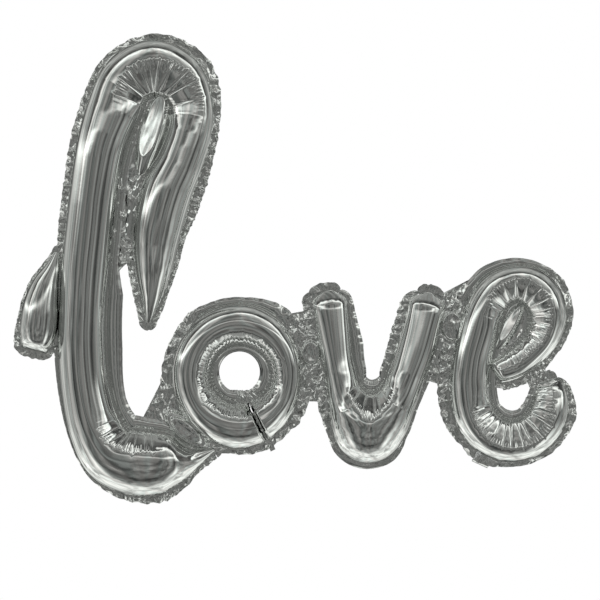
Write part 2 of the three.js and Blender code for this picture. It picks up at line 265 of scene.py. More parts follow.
# Fans of gathered film on the inner (left) side of the bends, as (share of the stroke's length, value):
# how strong they are, the angle from the inner seam, in degrees, at which they meet the smooth outer film,
# and "sink", the share of its depth that the tube keeps, where it isn't all of it. Then, in mm, the width
# of a flat facet; the gap and the reach of the small folds on the fan's outer line; and the gap, the reach
# and the height (pleat) of the puckers at the seam. "puckered" makes the puckers stronger in a weak fan,
# and "calm" takes them back where the fan is strongest.
FANS = {
    "l": {
        "strength": [(0, 0), (0.245, 0), (0.285, 1), (0.4, 1), (0.43, 0), (0.81, 0), (0.845, 1), (0.925, 1),
                     (0.945, 0), (1, 0)],
        "ridge": [(0.25, 112), (0.285, 124), (0.315, 110), (0.35, 103), (0.39, 98), (0.43, 88), (0.8, 84),
                  (0.85, 72), (0.9, 70), (0.93, 62), (1, 60)],
        "sink": [(0, 1), (0.13, 1), (0.17, 0.985), (0.2, 0.94), (0.225, 0.87), (0.25, 0.78), (0.27, 0.74),
                 (0.4, 0.74), (0.415, 0.78), (0.435, 0.86), (0.46, 0.93), (0.49, 0.97), (0.55, 1), (1, 1)],
        "facet": 15, "comb": (3.7, (7, 15)), "pucker": (6.5, (10, 20)),
    },
    "leaf": {"strength": [(0, 0), (1, 0)], "ridge": [(0, 70), (1, 70)], "facet": 30, "comb": (4, (3, 5)),
             "pucker": (8, (3, 6))},
    "o": {
        "strength": [(0, 0.5), (0.06, 0.3), (0.75, 0.3), (0.8, 1), (0.97, 1), (1, 0.7)],
        "ridge": [(0, 62), (0.2, 64), (0.74, 64), (0.8, 68), (1, 66)],
        "facet": 17, "comb": (3.6, (4, 9)), "pucker": (7.0, (18, 34)), "pleat": 2.7,
        "puckered": 3, "calm": 0.6,
    },
    "v": {
        "strength": [(0, 0), (0.3, 0), (0.37, 1), (0.62, 1), (0.7, 0), (1, 0)],
        "ridge": [(0.3, 70), (0.4, 76), (0.49, 66), (0.6, 76), (0.7, 70)],
        "facet": 21, "comb": (4.2, (5, 10)), "pucker": (9, (5, 9)),
    },
    "e": {
        "strength": [(0, 0), (0.04, 0.7), (0.14, 1), (0.4, 1), (0.46, 0), (0.62, 0), (0.68, 1), (0.97, 1),
                     (1, 0.6)],
        "ridge": [(0, 80), (0.1, 84), (0.2, 96), (0.33, 104), (0.4, 90), (0.62, 80), (0.7, 96), (0.8, 108),
                  (0.9, 100), (1, 84)],
        "facet": 12, "comb": (3.5, (6, 13)), "pucker": (5.8, (10, 22)), "pleat": 2.0,
    },
}

# The v's inner seam under its notch: share of the stroke's length, x, z.
SEAM_UNDER_NOTCH = [(0.275, 78.4, -127.8), (0.34, 81.5, -144), (0.40, 86, -152.5), (0.45, 91.5, -156.5),
                    (0.5, 98, -157.5), (0.55, 104.5, -156), (0.6, 110, -151.5), (0.66, 115.5, -142),
                    (0.7, 117.2, -132)]

STROKES = [
    Stroke("l", LETTER_L),
    Stroke("leaf", LEAF, pillow=(0, 14)),
    Stroke("o", ring_of_o(), pillow=(4.5, 4.5)),
    Stroke("v", LETTER_V, pillow=(CHAMFER, CHAMFER), corner=(17, 17), inner=SEAM_UNDER_NOTCH),
    Stroke("e", LETTER_E, pillow=(10, CHAMFER), corner=(0, 11)),
]
BY_NAME = {s.name: s for s in STROKES}


# ------------------------------------------------------------------ seeded noise
CELLS = 64  # the noise repeats after this many lattice cells


def lattice_noise(seed, x, y):
    """Smooth noise from -1 to 1 at these coordinates, one lattice cell per unit."""
    table = np.random.default_rng(seed).uniform(-1, 1, (CELLS, CELLS))
    x, y = np.broadcast_arrays(np.asarray(x, float), np.asarray(y, float))
    i, j = np.floor(x).astype(int), np.floor(y).astype(int)
    u, v = x - i, y - j
    u, v = u**3 * (u * (6 * u - 15) + 10), v**3 * (v * (6 * v - 15) + 10)
    at = lambda a, b: table[a % CELLS, b % CELLS]
    top = at(i, j) * (1 - u) + at(i + 1, j) * u
    return top * (1 - v) + (at(i, j + 1) * (1 - u) + at(i + 1, j + 1) * u) * v


def creased_noise(seed, x, y):
    """Crumpled-foil noise: nearly flat facets that meet in sharp folds, from about -1 to 1."""
    total = 0
    for k, weight in enumerate((1.0, 0.5)):
        turn = 0.7 * k + 0.4
        a, b = x * np.cos(turn) - y * np.sin(turn), x * np.sin(turn) + y * np.cos(turn)
        n = np.abs(lattice_noise(seed + 17 * k, a * 1.9**k, b * 1.9**k)) * 2 - 0.7
        total = total + weight * n
    return total / 1.6


def facet_noise(seed, x, y):
    """Crumpled film: random heights from -1 to 1 on a warped lattice of triangles, flat in between."""
    rng = np.random.default_rng(seed)
    table = rng.uniform(0.4, 1, (CELLS, CELLS)) * rng.choice([-1, 1], (CELLS, CELLS))
    v = y + 0.4 * lattice_noise(seed + 4, x * 0.9 + 7, y * 0.9)
    u = x + 0.4 * lattice_noise(seed + 3, x * 0.9, y * 0.9) - 0.5 * v
    i, j = np.floor(u).astype(int), np.floor(v).astype(int)
    u, v = u - i, v - j
    at = lambda a, b: table[a % CELLS, b % CELLS]
    low = at(i, j) + u * (at(i + 1, j) - at(i, j)) + v * (at(i, j + 1) - at(i, j))
    far = at(i + 1, j + 1)
    high = far + (1 - u) * (at(i, j + 1) - far) + (1 - v) * (at(i + 1, j) - far)
    return np.where(u + v < 1, low, high)


def random_knots(rng, length, spare, gap, jitter=0.4):
    """Increasing positions about gap apart, from this far before 0 to this far past the length."""
    out = [-spare]
    while out[-1] < length + spare:
        out.append(out[-1] + gap * (1 + jitter * rng.uniform(-1, 1)))
    return np.array(out)


# ------------------------------------------------------------------ tubes
ROWS = 64  # rows round half a tube
STRAIGHT_STEP, BENT_STEP = 3.0, 0.62  # spacing of the stations along a tube, in mm
TUBE_GAP = 0.1  # distance of a tube's seam from the seam plane
BOW = 6  # how far the corners of the v's ends lie behind the middle, in mm
BOW_REACH = 16  # how fast the bow fades along the tube
KNEE = np.radians(28)  # where a fan's flat facets end near the inner seam


def section(stroke, s, a, ridge, flat):
    """Points of the half tube at arc lengths s and angles a from the inner seam. Between the knee and
    the ridge the film is pulled flat by this share."""
    x, z = stroke.at(s)[:2]
    c, d = np.cos(a), np.sin(a)
    share = np.clip((a - KNEE) / (ridge - KNEE), 0, 1)
    inside = flat * ((a > KNEE) & (a < ridge))
    c = c + inside * (np.cos(KNEE) + (np.cos(ridge) - np.cos(KNEE)) * share - c)
    d = d + inside * (np.sin(KNEE) + (np.sin(ridge) - np.sin(KNEE)) * share - d)
    dx, dz = stroke.across(s, c)
    if stroke.name == "v":  # its ends are bowed
        sx, sz = stroke.at(s)[3:5]
        back = BOW * c**2 * (np.exp(-s / BOW_REACH) - np.exp((s - stroke.length) / BOW_REACH))
        dx, dz = dx + sz * back, dz - sx * back
    return np.stack([x + dx, stroke.depth(s) * d, z + dz], axis=-1)


def zigzag(rng, stroke, s, gap):
    """A sharp wave along the stroke from 0 to about 1, one fold per gap, each of its own height."""
    at = random_knots(rng, stroke.length, 10, gap / 2)
    return np.interp(s, at, np.where(np.arange(len(at)) % 2, rng.uniform(0.35, 1, len(at)), 0))


def folds(stroke, rng, s, arc, ridge_arc, creases, strength):
    """Inward distance in mm of all sharp folds: puckers at the inner seam, the comb of small folds on
    the fan's outer line and a valley at each facet's border (creases is the distance to it)."""
    plan = FANS[stroke.name]

    def reach(low, high):
        at = random_knots(rng, stroke.length, 10, 9)
        return np.interp(s, at, rng.uniform(low, high, len(at)))

    gap, span = plan["pucker"]
    x = arc / reach(*span)
    total = plan.get("pleat", 1.5) * zigzag(rng, stroke, s, gap)
    total = total * np.clip(x * 4, 0, 1) * np.clip(1 - x, 0, 1) ** 0.7
    total = total * np.clip(0.2 + strength * plan.get("puckered", 1), 0, 1.2)
    total = total * (1 - plan.get("calm", 0) * strength)
    gap, span = plan["comb"]
    inner = ridge_arc - arc
    x = inner / reach(*span)
    comb = zigzag(rng, stroke, s, gap) * np.clip(1 + inner / 2.5, 0, 1) * np.clip(1 - x, 0, 1)
    total = total + 1.15 * comb * strength
    valley = np.exp(-creases / 1.1) * np.clip(arc / 5, 0, 1) * np.clip(1 + inner / 6, 0, 1)
    return total + 0.9 * valley * strength


def fan_facets(stroke, rng, s, a):
    """The fan's flat facets, straight from one fold line to the next: their points, the angle of the fan's
    outer line and the distance along the tube to the nearest fold line."""
    plan = FANS[stroke.name]
    lines = random_knots(rng, stroke.length, 14, plan["facet"], 0.35)
    levels = rng.uniform(-5, 5, len(lines))
    flats = rng.uniform(0.75, 1.0, len(lines))
    k = np.clip(np.searchsorted(lines, s, side="right") - 1, 0, len(lines) - 2)
    t = (s - lines[k]) / (lines[k + 1] - lines[k])
    ridge_of = lambda i: np.radians(knots(plan["ridge"], lines[i] / stroke.length) + levels[i])
    flat_of = lambda i: flats[i] * np.clip(np.radians(95) / ridge_of(i), 0, 1) ** 1.5
    at_line = lambda i: section(stroke, np.clip(lines[i], 0, stroke.length), a, ridge_of(i), flat_of(i))
    facet = at_line(k) * (1 - t[..., None]) + at_line(k + 1) * t[..., None]
    ridge = ridge_of(k) * (1 - t) + ridge_of(k + 1) * t
    return facet, ridge, np.minimum(s - lines[k], lines[k + 1] - s)


def outward_normals(points, side):
    """Unit normals of a half tube, away from its inside."""
    normal = np.cross(np.gradient(points, axis=0), np.gradient(points, axis=1))
    normal /= np.linalg.norm(normal, axis=-1, keepdims=True) + 1e-9
    return normal * np.sign(np.sum(normal * side * np.array([0, 1, 0]), axis=-1).mean())


def soft_relief(stroke, rng, seed, s, a, half, arc, far):
    """Inward distance in mm of small gathers along both seams, long soft swells and two sizes of faint
    ripples that run with the tube."""
    ends = np.clip(arc / 1.5, 0, 1) * np.clip(far / 1.5, 0, 1)
    gathers = np.exp(-arc / 3) + np.exp(-far / 3.5)
    small = 0.6 * creased_noise(seed, s / 5, a * 1.5) + zigzag(rng, stroke, s, 3.3)
    swells = 0.4 * lattice_noise(seed + 7, s / 50, a * 1.1 + 3)
    ripples = 0.10 * lattice_noise(seed + 8, s / 150, a * half / 5.0)
    ripples = ripples + 0.035 * lattice_noise(seed + 9, s / 110, a * half / 1.7)
    return 0.4 * gathers * ends * small + (swells + ripples) * np.sin(a)


def tube(stroke, side):
    """The half tube on one side of the seam plane: positions (stations, rows, 3) in mm."""
    rng = np.random.default_rng(1000 * (STROKES.index(stroke) + 1) + (500 if side == BACK else 0))
    s = stroke.stations()[:, None]
    a = np.linspace(0, np.pi, ROWS + 1)[None, :]  # from the left seam to the right one
    half, sx, sz, turn = stroke.at(s)[2:]
    depth, strength = stroke.depth(s), stroke.bend(s)
    facet, ridge, crease = fan_facets(stroke, rng, s, a)
    ragged = ridge + 1.3 * (zigzag(rng, stroke, s, 3.1) - 0.4) / half
    weight = strength * (1 - step(a, ragged - 0.04, ragged + 0.04))
    points = section(stroke, s, a, KNEE + 1, 0)
    points = points + weight[..., None] * (facet - points)
    points[..., 1] = side * (points[..., 1] + TUBE_GAP)
    normal = outward_normals(points, side)
    radius = 0.5 * (half + depth)
    arc, far = radius * a, radius * (np.pi - a)  # distances round the tube from the two seams
    crease = crease * np.clip(1 - turn * half * np.cos(a), 0.25, 2)
    inward = folds(stroke, rng, s, arc, radius * ridge, crease, strength)
    seed = int(rng.integers(1, 10**6))
    inward += soft_relief(stroke, rng, seed, s, a, half, arc, far)
    points = points - normal * inward[..., None]
    if stroke.name == "o":  # the two ends meet in a ragged crease
        away = np.minimum(s, stroke.length - s)
        push = 1.1 * lattice_noise(seed + 11, a * half / 4, 0.5) * np.exp(-away / 4)
        push = push * np.sign(s - stroke.length / 2)
        points[..., 0] += push * sz
        points[..., 2] -= push * sx
    return points


def grid_object(name, sheets, rim_values=None):
    """One mesh object from grids of points in mm."""
    verts, faces, values, start = [], [], [], 0
    for index, (grid, flip) in enumerate(sheets):
        rows, cols = grid.shape[:2]
        ids = start + np.arange(rows * cols).reshape(rows, cols)
        quads = np.stack([ids[:-1, :-1], ids[1:, :-1], ids[1:, 1:], ids[:-1, 1:]], axis=-1).reshape(-1, 4)
        faces.append(quads[:, ::-1] if flip else quads)
        verts.append(grid.reshape(-1, 3))
        if rim_values is not None:
            values.append(np.broadcast_to(rim_values[index], (rows, cols)).reshape(-1))
        start += rows * cols
    verts, faces = np.concatenate(verts) * MM, np.concatenate(faces)
    mesh = bpy.data.meshes.new(name)
    mesh.vertices.add(len(verts))
    mesh.vertices.foreach_set("co", verts.ravel())
    mesh.loops.add(faces.size)
    mesh.loops.foreach_set("vertex_index", faces.ravel())
    mesh.polygons.add(len(faces))
    mesh.polygons.foreach_set("loop_start", np.arange(0, faces.size, 4))
    mesh.update(calc_edges=True)
    mesh.validate()
    mesh.shade_smooth()
    if rim_values is not None:
        layer = mesh.attributes.new("rim", "FLOAT", "POINT")
        layer.data.foreach_set("value", np.concatenate(values).astype(np.float32))
    obj = bpy.data.objects.new(name, mesh)
    bpy.context.scene.collection.objects.link(obj)
    return obj


# ------------------------------------------------------------------ sealed edge and flat film
TAIL_FOLD = np.array([236.7, 0, -249.95])  # middle of the fold line of the filling tail
RIM_GAP, VALVE_GAP = 0.12, 0.55  # distance of the rim from the seam plane, and how much more at the valve
VALVE_REACH = 19  # how far round the fold the two films part, in mm
RUFFLE_GAP = 13  # length of one wave of a rim, in mm


def ruffle(seed, stroke, s):
    """Waves of the sealed edge from -1 to 1, some sharp and some slack."""
    rng = np.random.default_rng(seed)
    at = random_knots(rng, stroke.length, 20, RUFFLE_GAP / 2)
    height = np.where(np.arange(len(at)) % 2, 1, -1) * rng.uniform(0.35, 1, len(at))
    return np.interp(s, at, height)


def rim(stroke, edge, seed):
    """The sealed edge on the left (+1) or right (-1) of a stroke: a grid of points, and how crumpled each
    of them is from 0 to 1."""
    side = "left" if edge > 0 else "right"
    rng = np.random.default_rng(seed)
    s = np.arange(0, stroke.length, 0.95)[:, None]
    u = s / stroke.length
    x, z, half, sx, sz, _ = stroke.at(s)
    if edge > 0:
        dx, dz = stroke.across(s, 1.0)
        half = np.hypot(dx, dz)
        sx, sz = dx / half, dz / half
    q = np.linspace(-0.12, 1, 16)[None, :]
    width = knots(RIMS[stroke.name][side], u)
    wave = knots(RIMS[stroke.name][side + "_wave"], u)
    swing = ruffle(seed, stroke, s)
    fall = np.clip(q, 0, 1)
    lively = np.clip((wave - 0.5) / 1.0, 0, 1)
    ragged = 1 - 0.05 * wave * np.abs(swing) + 0.08 * wave * (zigzag(rng, stroke, s, 12) - 0.5)
    reach = half + width * ragged * q
    if stroke.name == "v":  # reaches in under the bowed ends
        away = np.minimum(s, stroke.length - s)
        reach = reach - 1.35 * BOW * np.exp(-away / BOW_REACH) * (1 - fall) ** 2
    y = 1.2 * wave * swing * fall**1.5
    y = y + 0.5 * wave * fall * (zigzag(rng, stroke, s, 7) - 0.3)
    y = y + 2.6 * lively * fall**0.6 * facet_noise(seed + 2, s / 6, q * width / 7 + 9)
    y = y + 0.6 * lively * fall**0.5 * facet_noise(seed + 6, s / 2.8, q * width / 3.4 + 9)
    y = y + 0.05 * lattice_noise(seed + 4, s / 20, q * width / 12) * np.clip(q * 4, 0, 1)
    rounded = 0.13 * np.minimum(width, 16) * (1 - lively)  # smooth stretches bulge softly
    y = y - rounded * np.sin(np.pi * fall) ** 1.2
    y = y + 0.28 * (zigzag(rng, stroke, s, 3.3) - 0.3) * np.exp(-np.abs(q * width - 0.8) / 0.9)
    if stroke.name == "o" and edge > 0:
        reach = np.minimum(reach, inner_reach_of_o(x, z, sx, sz, half, q))
    return np.stack([x + edge * sx * reach, y, z + edge * sz * reach], axis=-1), lively * (q > 0)


def inner_reach_of_o(x, z, sx, sz, half, q):
    """How far the inner edge of the o may reach, so that it ends on the round hole with its flat foot."""
    hx, hz, radius = O_HOLE
    # Along the side vector from the centre line to the circle.
    bx, bz = x - hx, z - hz
    b = bx * sx + bz * sz
    gap = -b - np.sqrt(np.maximum(b * b - (bx * bx + bz * bz - radius**2), 0))
    foot = (O_HOLE_FOOT - z) / np.maximum(sz, 0.15)
    hole = np.maximum(gap, half + 2)
    flat = (sz > 0.15) & (foot > half)
    hole = np.where(flat, np.maximum(hole, np.minimum(foot, gap + 6)), hole)
    return half + (hole - half) * q


def ruled(first, second, rows=60, cols=40):
    """A flat grid between two smooth lines of (x, z) points."""
    def along(points):
        p = smooth_line([(a, b, 0) for a, b in points], 20)
        t = np.r_[0, np.cumsum(np.hypot(*np.diff(p[:, :2], axis=0).T))]
        u = np.linspace(0, t[-1], rows)
        return np.stack([np.interp(u, t, p[:, 0]), np.interp(u, t, p[:, 1])], axis=-1)
    a, b = along(first)[:, None], along(second)[:, None]
    v = np.linspace(0, 1, cols)[None, :, None]
    return a + (b - a) * v


# Flat film between strokes: two border lines, size and height of its crumples, the share of its length that
# stays calm, and puffed spots: centre, half size, height, lean to the right from upright in degrees, slope
# of the plateau along x and z, slope of the walls, number of pleats.
WEBS = {
    "l_loop": dict(first=[(-205, 232), (-206, 190), (-219, 140), (-229, 80), (-236, 20), (-240, -22)],
                   second=[(-152, 230), (-152, 190), (-172, 140), (-196, 90), (-204, 20), (-222, 2)],
                   cell=9, height=2.4, calm=0.5,
                   puffs=[dict(at=(-182, 176), half=(18, 60), rise=9, lean=16, tilt=(0.3, -0.14), wall=0.9)]),
    "o_slit": dict(first=[(-66, -155.5), (-51, -189), (-31, -233)],
                   second=[(-60, -155.5), (-45, -186), (-25, -230)], cell=4, height=0.8),
    "l_to_o": dict(first=[(-198, -196), (-178, -212), (-150, -226), (-120, -240), (-96, -236)],
                   second=[(-171, -143), (-150, -165), (-138, -186), (-118, -206), (-98, -216)],
                   cell=9, height=1.4,
                   puffs=[dict(at=(-139, -205), half=(15, 38), rise=13, lean=-50, wall=1.1, rings=3)]),
    "o_to_v": dict(first=[(-14, -58), (0, -90), (6, -120), (0, -168)],
                   second=[(26, -50), (32, -90), (38, -130), (50, -170)], cell=7, height=2.0,
                   puffs=[dict(at=(20, -107), half=(13, 17), rise=6, lean=0, wall=1.1, rings=3)]),
    "v_to_e": dict(first=[(184, -33), (184, -70), (176, -110), (166, -141)],
                   second=[(240, -4), (216, -55), (203, -100), (200, -152)], cell=7, height=2.0,
                   puffs=[dict(at=(201, -72), half=(15, 20), rise=6, lean=0, wall=1.1, rings=3)]),
    "e_loop": dict(first=[(247, -128), (253, -95), (262, -60), (280, -36)],
                   second=[(262, -114), (290, -98), (305, -72), (302, -42)], cell=10, height=0.7, calm=1.0,
                   puffs=[dict(at=(275, -72), half=(11, 36), rise=6, lean=28, tilt=(0.3, -0.14), wall=0.9)]),
    "v_notch": dict(first=[(76, -128), (88, -146), (98, -150), (112, -146), (122, -128)],
                    second=[(84, -124), (91, -137), (98, -141), (107, -137), (114, -122)],
                    cell=30, height=0.1),
    "e_bar_end": dict(first=[(242, -112), (249, -150)], second=[(262, -118), (270, -153)],
                      cell=7, height=1.0),
    "e_join": dict(first=[(291, -126), (318, -112)], second=[(300, -151), (323, -141)], cell=6, height=1.5),
}


def web(name, seed):
    """One piece of flat film: its (x, z) grid, the height of its crumples, the rise of its puffed spots and
    how crumpled each point is."""
    spec = WEBS[name]
    flat = ruled(spec["first"], spec["second"], 110, 60)
    x, z = flat[..., 0], flat[..., 1]
    share = np.linspace(0, 1, flat.shape[0])[:, None]
    rough = 0.12 + 0.88 * step(share, spec.get("calm", 0) * 0.7, spec.get("calm", 0) + 0.01)
    y = spec["height"] * facet_noise(seed, x / spec["cell"], z / spec["cell"] * 0.9)
    fine = facet_noise(seed + 1, x / spec["cell"] * 2.5, z / spec["cell"] * 2.2)
    y = rough * (y + 0.3 * spec["height"] * fine)
    rise = np.zeros_like(x)
    slack = np.ones_like(x)
    for puff in spec.get("puffs", ()):
        (px, pz), (hx, hz), lean = puff["at"], puff["half"], np.radians(puff["lean"])
        u = (x - px) * np.cos(lean) - (z - pz) * np.sin(lean)
        v = (x - px) * np.sin(lean) + (z - pz) * np.cos(lean)
        inside = 1 - np.clip((np.abs(u) / hx) ** 1.8 + (np.abs(v) / hz) ** 1.8, 0, 1)
        rings = puff.get("rings", 0)
        if rings:  # pleats that follow the puff's outline
            inside = inside + 1.1 / rings * np.abs((inside * rings) % 1 - 0.5) * (inside > 0.05)
        slope_x, slope_z = puff.get("tilt", (0, 0))
        plateau = puff["rise"] + slope_x * (x - px) + slope_z * (z - pz)
        plateau = plateau + 0.55 * lattice_noise(seed + 2, u / 5, v / 24)
        rise = np.maximum(rise, np.minimum(plateau, puff["wall"] * hx * inside))
        slack = slack * (1 - (0.75 if rings else 0.95) * (rise > 0.3))
    return flat, y * slack, rise, rough * slack


def rim_sheets(side):
    """All sealed edges and webs of one panel. Both panels share the same waves, a hair apart."""
    sheets, values = [], []
    offset = side * RIM_GAP
    for index, stroke in enumerate(STROKES):
        for edge in (1, -1):
            grid, lively = rim(stroke, edge, 4000 + 10 * index + edge)
            # The two films part and lie smooth round the flat valve.
            away = np.hypot(grid[..., 0] - TAIL_FOLD[0], grid[..., 2] - TAIL_FOLD[2])
            seat = np.exp(-((away / VALVE_REACH) ** 6))
            grid[..., 1] = grid[..., 1] * (1 - seat) + offset + side * VALVE_GAP * seat
            sheets.append((grid, (edge > 0) == (side == BACK)))
            values.append(lively)
    for index, name in enumerate(WEBS):
        flat, y, rise, rough = web(name, 5000 + index)
        grid = np.stack([flat[..., 0], y + offset * 0.5 + side * rise, flat[..., 1]], axis=-1)
        sheets.append((grid, side == FRONT))
        values.append(0.8 * rough * (rise < 0.5))
    for stroke in (BY_NAME["v"], BY_NAME["l"], BY_NAME["leaf"], BY_NAME["e"]):
        for end in (0, 1):
            if stroke.name == "e" and end == 0:  # it starts inside its own loop
                continue
            grid = end_rim(stroke, end, 6000 + 10 * STROKES.index(stroke) + end)
            grid[..., 1] += offset
            sheets.append((grid, (end == 0) == (side == BACK)))
            values.append(np.full(grid.shape[:2], 1.0))
    return sheets, values


def end_rim(stroke, end, seed):
    """The sealed edge past the end of a stroke, as a fan from its left rim to its right rim."""
    s = np.array([0.01 if end == 0 else stroke.length - 0.01])
    x, z, half, sx, sz, _ = (v[0] for v in stroke.at(s))
    u = 0 if end == 0 else 1
    left, right = (knots(RIMS[stroke.name][k], u) for k in ("left", "right"))
    fx, fz = (sz, -sx) if end else (-sz, sx)  # forward, out past the end
    w = np.linspace(-1, 1, 41)[:, None]
    q = np.linspace(0, 1, 9)[None, :]
    outer = np.where(w > 0, half + left, half + right) * w
    inner = half * w
    lift = 10 * (1 - np.abs(w) ** 2.4) ** 0.6 * (1 + 0.12 * lattice_noise(seed, w * 5, 0.3))
    across = inner + (outer - inner) * q
    forward = -(1.0 + (BOW * w**2 if stroke.name == "v" else 0)) * (1 - q) + lift * q
    y = 1.3 * q**1.3 * lattice_noise(seed + 1, w * (half + 10) / 6, 1.5)
    y = y + 0.5 * q * creased_noise(seed + 2, w * (half + 10) / 5, q * 1.6)
    return np.stack([x + sx * across + fx * forward, y, z + sz * across + fz * forward], axis=-1)


# ------------------------------------------------------------------ materials
class Graph:
    """Short names for adding shader nodes to one node tree. A value is a number, a colour or an output."""

    def __init__(self, tree):
        self.nodes, self.links = tree.nodes, tree.links

    def put(self, socket, value):
        if isinstance(value, (int, float, tuple)):
            socket.default_value = value
        else:
            self.links.new(value, socket)

    def node(self, kind, inputs=None, **settings):
        n = self.nodes.new("ShaderNode" + kind)
        for key, value in settings.items():
            setattr(n, key, value)
        for key, value in (inputs or {}).items():
            self.put(n.inputs[key], value)
        return n

    def noise(self, place, scale, detail=2.0, rough=0.5, **settings):
        inputs = {"Scale": scale, "Detail": detail, "Roughness": rough}
        inputs["W" if settings.get("noise_dimensions") == "1D" else "Vector"] = place
        return self.node("TexNoise", inputs, **settings).outputs["Fac"]

    def math(self, operation, *values):
        return self.node("Math", dict(enumerate(values)), operation=operation).outputs["Value"]

    def spread(self, value, low, high, to_low=0, to_high=1, **settings):
        """The range low to high spread over another range."""
        inputs = {"Value": value, "From Min": low, "From Max": high, "To Min": to_low, "To Max": to_high}
        return self.node("MapRange", inputs, **settings).outputs["Result"]

    def ease(self, value, low, high):
        """A smooth step from 0 at low to 1 at high."""
        return self.spread(value, low, high, interpolation_type="SMOOTHSTEP")

    def mix(self, share, first, second):
        return self.math("ADD", first, self.math("MULTIPLY", share, self.math("SUBTRACT", second, first)))

    def bell(self, value, centre, width):
        """A bump of height 1 at the centre."""
        x = self.math("DIVIDE", self.math("SUBTRACT", value, centre), width)
        return self.math("EXPONENT", self.math("MULTIPLY", self.math("MULTIPLY", x, x), -1.0))

    def colours(self, value, stops):
        """Colours between (value, colour) stops, the first and the last at any place from 0 to 1."""
        n = self.node("ValToRGB", {"Fac": value})
        elements = n.color_ramp.elements
        elements[0].position, elements[1].position = stops[0][0], stops[-1][0]
        elements[0].color, elements[1].color = (*stops[0][1], 1), (*stops[-1][1], 1)
        for at, colour in stops[1:-1]:
            elements.new(at).color = (*colour, 1)
        return n.outputs["Color"]

    def greys(self, value, stops):
        """Piecewise linear grey through (value, grey) stops."""
        low, high = stops[0][0], stops[-1][0]
        share = self.math("DIVIDE", self.math("SUBTRACT", value, low), high - low)
        return self.colours(share, [((at - low) / (high - low), [grey] * 3) for at, grey in stops])

    def bump(self, height, distance, strength, before=None):
        inputs = {"Height": height, "Distance": distance, "Strength": strength}
        if before is not None:
            inputs["Normal"] = before
        return self.node("Bump", inputs).outputs["Normal"]


def new_material(name):
    """A node material, its graph and its shader's inputs."""
    material = bpy.data.materials.new(name)
    material.use_nodes = True
    g = Graph(material.node_tree)
    return material, g, g.nodes["Principled BSDF"].inputs


def film_material(name, tint, knurled):
    """Metallised film: a mirror with faint mottling, haze and fine wrinkles; the sealed edge is knurled."""
    material, g, shader = new_material(name)
    place = g.node("TexCoord").outputs["Object"]
    shader["Metallic"].default_value = 1.0
    mottled = g.colours(g.noise(place, 14, 3), [(0.35, [c * 0.93 for c in tint]), (0.7, tint)])
    g.put(shader["Base Color"], mottled)
    g.put(shader["Roughness"], g.spread(g.noise(place, 55, 4, 0.6), 0.3, 0.75, 0.03, 0.09))
    fine = g.bump(g.noise(place, 420), 0.0002, 0.06)
    relief = g.bump(g.noise(place, 75, 3), 0.001, 0.035, fine)
    if knurled:  # angular crumples and fine cells, only where the edge is crumpled
        mask = g.node("Attribute", attribute_name="rim").outputs["Fac"]
        facets = g.node("TexVoronoi", {"Vector": place, "Scale": 190}, distance="CHEBYCHEV")
        relief = g.bump(g.math("MULTIPLY", facets.outputs["Distance"], mask), 0.003, 0.06, relief)
        cells = g.node("TexVoronoi", {"Vector": place, "Scale": 480}, feature="DISTANCE_TO_EDGE")
        walls = g.spread(cells.outputs["Distance"], 0, 0.25)
        relief = g.bump(g.math("MULTIPLY", walls, mask), 0.0006, 0.05, relief)
    g.put(shader["Normal"], relief)
    return material


def ply_material(name):
    """Cloudy thin polyethylene with a faint uneven haze."""
    material, g, shader = new_material(name)
    place = g.node("TexCoord").outputs["Object"]
    shader["Transmission Weight"].default_value = 0.35
    shader["IOR"].default_value = 1.5
    cloud = g.noise(place, 160)
    g.put(shader["Base Color"], g.colours(cloud, [(0, (0.74, 0.76, 0.76)), (1, (0.86, 0.87, 0.87))]))
    g.put(shader["Roughness"], g.spread(cloud, 0, 1, 0.25, 0.45))
    g.put(shader["Normal"], g.bump(cloud, 0.0003, 0.4))
    return material


SILVER = (0.80, 0.815, 0.80)
tube_film = film_material("metallised film", SILVER, False)
rim_film = film_material("metallised film, sealed edge", SILVER, True)
valve_film = ply_material("valve film")


# ------------------------------------------------------------------ pieces of the balloon
def build_panel(side):
    """One film panel: a tube for each stroke and all of its sealed edge and flat film."""
    word = "front" if side == FRONT else "back"
    for stroke in STROKES:
        obj = grid_object(f"{word}_{stroke.name}_tube", [(tube(stroke, side), side == FRONT)])
        obj.data.materials.append(tube_film)
        finish_piece(obj, "balloon", "silver_film", f"{word}_film")
    sheets, values = rim_sheets(side)
    obj = grid_object(f"{word}_sealed_rim", sheets, values)
    obj.data.materials.append(rim_film)
    finish_piece(obj, "balloon", "silver_film", f"{word}_film")


def finish_piece(obj, body, slot, *nodes):
    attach(obj, body)
    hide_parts(*nodes)


TAIL_INWARD = np.array([0.417, 0, 0.909])  # from the fold towards the last letter
TAIL_ACROSS, TAIL_BACK = np.array([0.909, 0, -0.417]), np.array([0.0, 1.0, 0.0])
TAIL_BEND = 7  # how far the film's bend reaches to each side of the fold, in mm
TAIL_REACH, TAIL_HALF = 29, 11  # length past the fold line and half width


